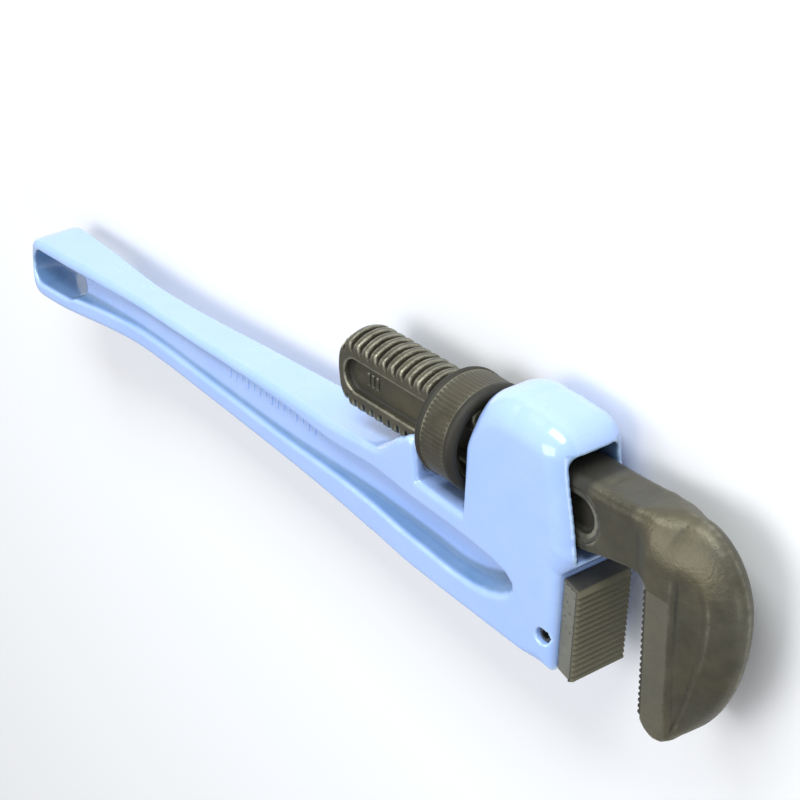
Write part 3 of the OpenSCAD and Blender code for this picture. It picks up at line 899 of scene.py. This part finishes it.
class WRENCH_OT_nut(bpy.types.Operator):
    """Ring nut with eased rims, a finely ribbed band and a threaded bore"""

    bl_idname = "wrench.nut"
    bl_label = "Adjusting nut"

    def execute(self, context):
        sizes = context.scene.wrench_jaw
        middle, half = NUT_MID, NUT_LEN / 2
        rim, r, lift = NUT_RIM, NUT_R, NUT_LIFT
        bore = sizes.thread_r / MM - 0.2
        outer = [(-half, bore + 1.6), (-half, r - lift - 0.5), (-half + 0.2, r - lift),
                 (-half + 0.8, r - 0.75), (-half + lift, r - 0.15), (-half + lift + 0.6, r)]
        outer += [(-half + rim - 0.3, r), (-half + rim, r - 0.25), (-half + rim + 0.25, r - 0.55)]
        band = [(x, r - 0.55) for x in np.linspace(-half + rim + 0.7, half - rim - 0.7, 7)]
        outer += band + [(half - rim - 0.25, r - 0.55), (half - rim, r - 0.25)]
        outer += [(half - rim + 0.3, r), (half - lift - 0.6, r), (half - lift, r - 0.15),
                  (half - 0.8, r - 0.75), (half - 0.2, r - lift), (half, r - lift - 0.5),
                  (half, bore + 1.6)]
        inner = [(x, bore) for x in np.linspace(half - 0.6, -half + 0.6, 46)]
        profile = np.array([(middle + x, q) for x, q in outer + inner])
        ribs = sizes.ribs

        def wobble(x, radius, angle):
            place = x - middle
            banded = (np.abs(place) < half - rim - 0.4) & (radius > r - 1)
            ribbed = radius + np.where(banded, RIB_HEIGHT * np.cos(ribs * angle), 0)
            helix = thread_radius(x, np.cos(angle), np.sin(angle), sizes, BORE_GAP)
            entry = np.maximum(np.abs(place) - (half - 1.6), 0)
            return np.where(radius < bore + 0.1, helix + entry, ribbed)

        points, faces = turned(profile, ribs * 4, wobble)
        faces = faces[:, ::-1]
        piece = new_piece("ring_nut", [(in_jaw_frame(points), faces)], "nut",
                          ["adjusting_nut"])
        piece.data.materials.append(nut_material(context.scene.wrench_colours))
        sharpen(piece, 40)
        return {"FINISHED"}


LEAF_END = 19.9
LEAF_Y = -17.62
LEAF_BOW = 0.8
LEAF_THICK = 0.38
RIVET_X = 11
RIVET_Y = -17.6
WIRE_R = 0.55
COIL_TURNS = 6


def leaf_surface():
    """A strip with round edges carried along a shallow arch, narrowed at its ends. Its
    section is a superellipse: each half size times a power of a cosine or sine."""
    t = np.linspace(0, 1, 33)
    x = mix(-LEAF_END, LEAF_END, t)
    height = LEAF_Y - 0.4 - LEAF_BOW * (1 - 4 * t * (1 - t))
    a = np.arange(24) * TURN / 24
    wide = LEAF_HALF * np.sign(np.cos(a)) * np.abs(np.cos(a)) ** 0.25
    thick = LEAF_THICK * np.sign(np.sin(a)) * np.abs(np.sin(a)) ** 0.5
    narrow = np.clip(np.minimum(t, 1 - t) * 14, 0, 1) ** 0.5 * 0.3 + 0.7
    rows = np.stack([np.repeat(x[:, None], 24, 1), height[:, None] + thick,
                     narrow[:, None] * wide], -1)
    return carried(rows[:, ::-1])


def rivet_surface():
    """A turned pin with a domed head, standing along Y."""
    profile = [(0.42, 0.05), (0.40, 1.2), (0.25, 2.0), (0, 2.3), (-0.05, 1.3), (-2.9, 1.3),
               (-3.0, 1.1), (-3.0, 0.05)]
    points, faces = turned(profile, 24)
    return np.stack([points[:, 1] + RIVET_X, points[:, 0] + RIVET_Y, points[:, 2]], 1), faces


def coil_surface():
    """A round wire carried along a helix about +Y whose first and last turns lie flatter."""
    s = np.linspace(0, 1, COIL_TURNS * 24 + 1)
    rise = np.interp(s, [0, 0.12, 0.88, 1], [0, 0.06, 0.94, 1])
    angle = s * COIL_TURNS * TURN
    outward = np.stack([np.cos(angle), 0 * angle, np.sin(angle)], 1)
    centre = (COIL_R - WIRE_R) * outward
    centre[:, 0] += COIL_X
    centre[:, 1] = mix(COIL_Y[0] + WIRE_R, COIL_Y[1] - WIRE_R, rise)
    b = (np.arange(10) * TURN / 10)[:, None]
    rows = centre[:, None] + WIRE_R * (np.cos(b) * outward[:, None] + np.sin(b) * [0, 1, 0])
    return carried(rows)


class WRENCH_OT_springs(bpy.types.Operator):
    """Leaf spring, its rivet and the coil spring under it"""

    bl_idname = "wrench.springs"
    bl_label = "Springs"

    def execute(self, context):
        finish = spring_material(context.scene.wrench_colours)
        points, faces = leaf_surface()
        leaf = new_piece("leaf_spring", [(in_jaw_frame(points), faces)], "spring_leaf",
                         ["flat_spring"])
        points, faces = rivet_surface()
        rivet = new_piece("leaf_rivet", [(in_jaw_frame(points), faces)], "spring_leaf",
                          ["spring_rivet"])
        sharpen(rivet, 40)
        coil = new_piece("coil_wire", [coil_surface()], "handle", ["coil_spring"])
        for piece in (leaf, rivet, coil):
            piece.data.materials.append(finish)
        return {"FINISHED"}


# ---------------------------------------------------------------- finishes


def node(tree, kind, place, **settings):
    made = tree.nodes.new(kind)
    made.location = place
    for key, value in settings.items():
        setattr(made, key, value)
    return made


def group_with(name, inputs, outputs):
    """A new shader node group with its input and output nodes, or the group and None twice
    if it exists. inputs are pairs of name and value, outputs are names."""
    if name in bpy.data.node_groups:
        return bpy.data.node_groups[name], None, None
    tree = bpy.data.node_groups.new(name, "ShaderNodeTree")
    for label, value in inputs:
        socket = tree.interface.new_socket(label, in_out="INPUT", socket_type="NodeSocketFloat")
        socket.default_value = value
    for label in outputs:
        tree.interface.new_socket(label, in_out="OUTPUT", socket_type="NodeSocketFloat")
    return tree, node(tree, "NodeGroupInput", (-900, 0)), node(tree, "NodeGroupOutput", (900, 0))


def maths(tree, operation, values, place, clamp=False):
    """A Math node on two or three values, each a number or a socket."""
    made = node(tree, "ShaderNodeMath", place, operation=operation, use_clamp=clamp)
    for socket, value in zip(made.inputs, values):
        if isinstance(value, (int, float)):
            socket.default_value = value
        else:
            tree.links.new(value, socket)
    return made.outputs[0]


def blend_colours(tree, factor, a, b, place):
    made = node(tree, "ShaderNodeMix", place, data_type="RGBA", clamp_factor=True)
    for index, value in ((0, factor), (6, a), (7, b)):
        if isinstance(value, bpy.types.NodeSocket):
            tree.links.new(value, made.inputs[index])
        elif index == 0:
            made.inputs[index].default_value = value
        else:
            made.inputs[index].default_value = (*value[:3], 1)
    return made.outputs[2]


def noise(tree, scale, detail, rough, place, vector=None):
    made = node(tree, "ShaderNodeTexNoise", place)
    made.inputs["Detail"].default_value = detail
    made.inputs["Roughness"].default_value = rough
    if isinstance(scale, (int, float)):
        made.inputs["Scale"].default_value = scale
    else:
        tree.links.new(scale, made.inputs["Scale"])
    if vector is not None:
        tree.links.new(vector, made.inputs["Vector"])
    return made.outputs["Fac"]


def band(tree, value, low, high, place):
    """Maps a value from low..high to 0..1 with a smooth step."""
    made = node(tree, "ShaderNodeMapRange", place, interpolation_type="SMOOTHSTEP")
    tree.links.new(value, made.inputs["Value"])
    made.inputs["From Min"].default_value = low
    made.inputs["From Max"].default_value = high
    return made.outputs["Result"]


def edge_wear_group():
    """Masks from the mesh's own edges and corners, broken up by noise: rubbed edges, which
    the enamel shows as a painted highlight, and dirt in corners and in patches, with painted
    shade in the corners."""
    tree, start, end = group_with(
        "Rub and dirt", [("Scale", 90.0), ("Rub", 1.0), ("Dirt", 1.0)],
        ["Rubbed", "Dirt_and_shade", "Patches"])
    if start is None:
        return tree
    place = node(tree, "ShaderNodeTexCoord", (-900, 300)).outputs["Object"]
    edge = node(tree, "ShaderNodeAttribute", (-900, 560), attribute_name="edge").outputs["Fac"]
    hollow = node(tree, "ShaderNodeAttribute", (-900, 760), attribute_name="corner").outputs["Fac"]
    fine = noise(tree, start.outputs["Scale"], 6, 0.62, (-600, 300), place)
    broad = noise(tree, 28.0, 4, 0.55, (-600, 60), place)
    ragged = maths(tree, "MULTIPLY_ADD", (fine, 1.1, -0.1), (-400, 460))
    rub = maths(tree, "MULTIPLY", (edge, ragged), (-200, 560))
    rub = maths(tree, "MULTIPLY", (rub, start.outputs["Rub"]), (0, 560))
    tree.links.new(band(tree, rub, 0.06, 0.42, (200, 560)), end.inputs["Rubbed"])
    spread = maths(tree, "MULTIPLY", (broad, 0.35), (-200, 60))
    # Dirt with painted shade: concave corners darken strongly, broad patches a little
    dirt = maths(tree, "MULTIPLY_ADD", (hollow, 1.6, spread), (0, 760))
    dirt = maths(tree, "MULTIPLY", (dirt, start.outputs["Dirt"]), (100, 760))
    tree.links.new(band(tree, dirt, 0.22, 0.85, (300, 760)), end.inputs["Dirt_and_shade"])
    speckle = maths(tree, "MULTIPLY", (fine, 0.4), (0, 200))
    patches = maths(tree, "MULTIPLY_ADD", (broad, 0.6, speckle), (200, 100))
    tree.links.new(band(tree, patches, 0.36, 0.64, (400, 100)), end.inputs["Patches"])
    return tree


def grain_group():
    """Height of a surface's own texture: a broad swell, a fine grain and small pits."""
    tree, start, end = group_with(
        "Surface grain",
        [("Swell scale", 60.0), ("Grain scale", 900.0), ("Pits", 0.0), ("Swell", 1.0),
         ("Grain", 1.0)],
        ["Height", "Pitted"])
    if start is None:
        return tree
    place = node(tree, "ShaderNodeTexCoord", (-900, 300)).outputs["Object"]
    swell = noise(tree, start.outputs["Swell scale"], 2, 0.4, (-600, 300), place)
    grain = noise(tree, start.outputs["Grain scale"], 5, 0.6, (-600, 60), place)
    cells = node(tree, "ShaderNodeTexVoronoi", (-600, -220), feature="F1")
    cells.inputs["Scale"].default_value = 420
    tree.links.new(place, cells.inputs["Vector"])
    pit = band(tree, cells.outputs["Distance"], 0.30, 0.12, (-380, -220))
    rare = band(tree, noise(tree, 55.0, 2, 0.5, (-600, -460), place), 0.50, 0.62, (-380, -460))
    pit = maths(tree, "MULTIPLY", (pit, rare), (-180, -300))
    pit = maths(tree, "MULTIPLY", (pit, start.outputs["Pits"]), (0, -300))
    grain = maths(tree, "MULTIPLY", (grain, start.outputs["Grain"]), (-300, 60))
    height = maths(tree, "MULTIPLY_ADD", (swell, start.outputs["Swell"], grain), (0, 200))
    height = maths(tree, "SUBTRACT", (height, pit), (300, 100))
    tree.links.new(height, end.inputs["Height"])
    tree.links.new(pit, end.inputs["Pitted"])
    return tree


def placed(tree, group, place, **values):
    """The outputs of a node group placed in a material with its own input values."""
    made = node(tree, "ShaderNodeGroup", place, node_tree=group)
    for key, value in values.items():
        made.inputs[key.replace("_", " ")].default_value = value
    return made.outputs


def new_material(name):
    """A material with its tree and Principled shader, or the material and None twice if it
    exists."""
    if name in bpy.data.materials:
        return bpy.data.materials[name], None, None
    material = bpy.data.materials.new(name)
    material.use_nodes = True
    tree = material.node_tree
    tree.nodes.clear()
    shader = node(tree, "ShaderNodeBsdfPrincipled", (700, 0))
    out = node(tree, "ShaderNodeOutputMaterial", (1000, 0))
    tree.links.new(shader.outputs["BSDF"], out.inputs["Surface"])
    return material, tree, shader


def bumped(tree, shader, height, strength, distance):
    bump = node(tree, "ShaderNodeBump", (450, -400))
    bump.inputs["Strength"].default_value = strength
    bump.inputs["Distance"].default_value = distance
    tree.links.new(height, bump.inputs["Height"])
    tree.links.new(bump.outputs["Normal"], shader.inputs["Normal"])


def enamel_material(colours):
    """Glossy enamel, with painted shade in hollows and corners and painted highlights over
    edges, and the soft swell of sprayed paint."""
    material, tree, shader = new_material("Sky-blue enamel")
    if tree is None:
        return material
    rub, dirt, patches = placed(tree, edge_wear_group(), (-700, 200), Scale=70.0, Rub=1.0, Dirt=0.7)
    height, _ = placed(tree, grain_group(), (-700, -300), Swell_scale=170.0, Grain_scale=1500.0,
                       Pits=0.0, Swell=1.0, Grain=0.12)
    # Painted shade: the hollow mark and the corner mask darken the enamel towards its shade colour
    hollow = node(tree, "ShaderNodeAttribute", (-700, 500), attribute_name="hollow").outputs["Fac"]
    thick = maths(tree, "MULTIPLY_ADD", (dirt, 0.35, hollow), (-300, 500), True)
    colour = blend_colours(tree, thick, colours.enamel, colours.enamel_shade, (-100, 300))
    # Painted highlight: convex edges turn pale in the enamel
    painted_highlight = maths(tree, "MULTIPLY", (rub, 0.55), (-300, 120))
    colour = blend_colours(tree, painted_highlight, colour, colours.enamel_highlight, (100, 300))
    cloud = maths(tree, "MULTIPLY", (patches, 0.06), (-300, 0))
    colour = blend_colours(tree, cloud, colour, (0.85, 0.93, 1.0), (300, 300))
    tree.links.new(colour, shader.inputs["Base Color"])
    rough = maths(tree, "MULTIPLY_ADD", (patches, 0.06, 0.22), (100, -100))
    tree.links.new(rough, shader.inputs["Roughness"])
    shader.inputs["Metallic"].default_value = 0.0
    shader.inputs["IOR"].default_value = 1.52
    shader.inputs["Coat Weight"].default_value = 1.0
    shader.inputs["Coat Roughness"].default_value = 0.05
    bumped(tree, shader, height, 0.16, 0.0006)
    return material


def steel_material(name, base, rubbed, dirt_and_shade_colour, metallic, rough, rub=1.0, dirt=1.0, pits=0.5,
                   mark=None, tint=None, grain=0.5):
    """Oiled steel: dark where the scale is left, pale where rubbed, dirt and painted shade in corners.
    """
    material, tree, shader = new_material(name)
    if tree is None:
        return material
    rubbed_mask, dirt_and_shade_mask, patches = placed(tree, edge_wear_group(), (-900, 200), Scale=140.0,
                                         Rub=rub, Dirt=dirt)
    height, pitted = placed(tree, grain_group(), (-900, -300), Swell_scale=120.0,
                            Grain_scale=700.0, Pits=pits, Swell=0.5, Grain=grain)
    pale = tuple(min(1, 1.4 * c) for c in base)
    colour = blend_colours(tree, patches, base, pale, (-500, 300))
    if tint is not None:
        place = node(tree, "ShaderNodeTexCoord", (-1100, 700)).outputs["Object"]
        film = band(tree, noise(tree, 38.0, 3, 0.6, (-900, 700), place), 0.42, 0.66, (-700, 700))
        film = maths(tree, "MULTIPLY", (film, 0.28), (-520, 600))
        colour = blend_colours(tree, film, colour, tint, (-300, 400))
    mask = rubbed_mask
    if mark is not None:
        marked = node(tree, "ShaderNodeAttribute", (-900, 560), attribute_name=mark).outputs["Fac"]
        marked = maths(tree, "MULTIPLY", (marked, 0.8), (-700, 560))
        mask = maths(tree, "MAXIMUM", (mask, marked), (-400, 560))
    colour = blend_colours(tree, mask, colour, rubbed, (-100, 300))
    # Dirt, pits and painted shade from the corner marks all take the soot colour
    soiled_and_shaded = maths(tree, "MULTIPLY", (dirt_and_shade_mask, 0.8), (-300, 100))
    soiled_and_shaded = maths(tree, "MAXIMUM", (soiled_and_shaded, pitted), (-100, 100))
    colour = blend_colours(tree, soiled_and_shaded, colour, dirt_and_shade_colour, (150, 300))
    tree.links.new(colour, shader.inputs["Base Color"])
    dull = maths(tree, "MULTIPLY_ADD", (soiled_and_shaded, 0.25, rough), (200, -100))
    dull = maths(tree, "MULTIPLY_ADD", (patches, 0.12, dull), (350, -160), True)
    tree.links.new(dull, shader.inputs["Roughness"])
    metal = maths(tree, "MULTIPLY_ADD", (soiled_and_shaded, -0.6, metallic), (200, 60))
    tree.links.new(metal, shader.inputs["Metallic"])
    bumped(tree, shader, height, 0.35, 0.0005)
    return material


def forging_material(colours):
    """Oiled drop forging with an olive film and rubbed edges."""
    return steel_material("Oiled forging", colours.forging, colours.forging_rub, colours.soot_and_shade,
                          0.72, 0.34, rub=1.5, dirt=1.6, pits=0.3, mark="machined",
                          tint=(0.17, 0.145, 0.075), grain=1.0)


def nut_material(colours):
    """Turned steel, oiled."""
    return steel_material("Oiled nut steel", colours.forging, colours.forging_rub, colours.soot_and_shade,
                          0.8, 0.34, rub=1.6, dirt=1.1, pits=0.2, tint=(0.15, 0.125, 0.07))


def tooth_material(colours):
    """Hardened steel, straw-coloured, with soot and painted shade between the teeth and on the heel's
    top.
    """
    return steel_material("Tooth steel", colours.tooth, colours.tooth_rub, colours.soot_and_shade,
                          0.3, 0.36, rub=0.6, dirt=1.0, pits=0.6, mark="face",
                          tint=(0.10, 0.10, 0.085))


def spring_material(colours):
    """Blued spring steel."""
    return steel_material("Spring steel", colours.spring, (0.35, 0.35, 0.36), colours.soot_and_shade,
                          0.9, 0.3, rub=1.2, dirt=0.8, pits=0.1)


# ---------------------------------------------------------------- the stage

CAMERA_AT = (0.49189, 0.54406, 0.49786)
CAMERA_RIGHT = (0.61552, 0.03074, -0.78752)
CAMERA_DOWN = (0.43216, -0.84878, 0.30465)
CAMERA_AHEAD = (-0.65907, -0.52785, -0.53573)
CAMERA_LENS = 108.1
FLOOR_GAP = 0.15
FLOOR_REACH = 3


def soft_light(name, at, towards, width, height, power, colour=(1, 1, 1)):
    data = bpy.data.lights.new(name, "AREA")
    data.shape, data.size, data.size_y = "RECTANGLE", width, height
    data.energy, data.color = power, colour
    light = bpy.data.objects.new(name, data)
    light.location = at
    aim = Vector(towards) - Vector(at)
    light.rotation_euler = aim.to_track_quat("-Z", "Y").to_euler()
    bpy.context.collection.objects.link(light)


class WRENCH_OT_stage(bpy.types.Operator):
    """Pale floor, soft lights and camera"""

    bl_idname = "wrench.stage"
    bl_label = "Stage"

    def execute(self, context):
        scene = context.scene
        data = bpy.data.cameras.new("camera")
        data.lens, data.sensor_width = CAMERA_LENS, 36
        data.clip_start, data.clip_end = 0.02, 30
        camera = bpy.data.objects.new("camera", data)
        right, down, ahead = (Vector(v) for v in (CAMERA_RIGHT, CAMERA_DOWN, CAMERA_AHEAD))
        turn = Matrix((right, -down, -ahead)).transposed()
        camera.matrix_world = Matrix.Translation(CAMERA_AT) @ turn.to_4x4()
        context.collection.objects.link(camera)
        scene.camera = camera

        # Floor just under the nut, on which the wrench rests
        height = -(NUT_R + FLOOR_GAP) * MM
        n = 24
        side = np.linspace(-FLOOR_REACH, FLOOR_REACH, n)
        x, y = np.meshgrid(side, side, indexing="ij")
        points = np.stack([x, y, np.full_like(x, height)], -1).reshape(-1, 3)
        r, c = np.meshgrid(np.arange(n - 1), np.arange(n - 1), indexing="ij")
        first = (r * n + c).ravel()
        faces = np.stack([first, first + n, first + n + 1, first + 1], 1)
        mesh = bpy.data.meshes.new("floor")
        mesh.from_pydata(points, [], faces.tolist())
        floor = bpy.data.objects.new("floor", mesh)
        context.collection.objects.link(floor)
        material, tree, shader = new_material("Pale floor")
        place = node(tree, "ShaderNodeTexCoord", (-500, 0)).outputs["Object"]
        mottle = noise(tree, 3.0, 3, 0.5, (-300, 0), place)
        colour = blend_colours(tree, mottle, (0.92, 0.92, 0.93), (0.94, 0.94, 0.95), (0, 0))
        tree.links.new(colour, shader.inputs["Base Color"])
        shader.inputs["Roughness"].default_value = 0.7
        floor.data.materials.append(material)

        world = bpy.data.worlds.new("Soft room")
        scene.world = world
        world.use_nodes = True
        world.node_tree.nodes["Background"].inputs["Color"].default_value = (0.95, 0.97, 1.0, 1)
        world.node_tree.nodes["Background"].inputs["Strength"].default_value = 0.5
        soft_light("overhead", (-0.2, 0.3, 1.4), (-0.1, 0, 0), 1.2, 0.7, 9, (0.98, 0.985, 1))
        soft_light("crown_side", (-0.1, 1.3, 0.6), (-0.1, 0, 0), 1.4, 0.45, 17, (0.94, 0.99, 1))
        soft_light("front", (1.2, -0.1, 0.6), (0, 0, 0), 0.5, 0.5, 2.4, (0.9, 0.95, 1))
        scene.view_settings.view_transform = "Standard"
        scene.view_settings.look = "None"
        return {"FINISHED"}


# ---------------------------------------------------------------- the panel

BUILDERS = (WRENCH_OT_casting, WRENCH_OT_bars, WRENCH_OT_heel, WRENCH_OT_hook, WRENCH_OT_nut,
            WRENCH_OT_springs, WRENCH_OT_stage)


class WRENCH_PT_build(bpy.types.Panel):
    """Lists what the wrench is made of"""

    bl_label = "Pipe wrench"
    bl_space_type = "VIEW_3D"
    bl_region_type = "UI"
    bl_category = "Pipe wrench"

    def draw(self, context):
        for builder in BUILDERS:
            self.layout.operator(builder.bl_idname)
        for group in (context.scene.wrench_casting, context.scene.wrench_jaw,
                      context.scene.wrench_colours):
            box = self.layout.box()
            for key in group.__annotations__:
                box.prop(group, key)


GROUPS = {"wrench_casting": CastingSizes, "wrench_jaw": JawSizes, "wrench_colours": WrenchColours}


def register():
    for made in (*GROUPS.values(), *BUILDERS, WRENCH_PT_build):
        bpy.utils.register_class(made)
    for name, group in GROUPS.items():
        setattr(bpy.types.Scene, name, PointerProperty(type=group))


def unregister():
    for name in GROUPS:
        delattr(bpy.types.Scene, name)
    for made in (WRENCH_PT_build, *BUILDERS, *GROUPS.values()):
        bpy.utils.unregister_class(made)


def main():
    register()
    for builder in BUILDERS:
        area, operator = builder.bl_idname.split(".")
        getattr(getattr(bpy.ops, area), operator)()


if __name__ == "__main__":
    main()
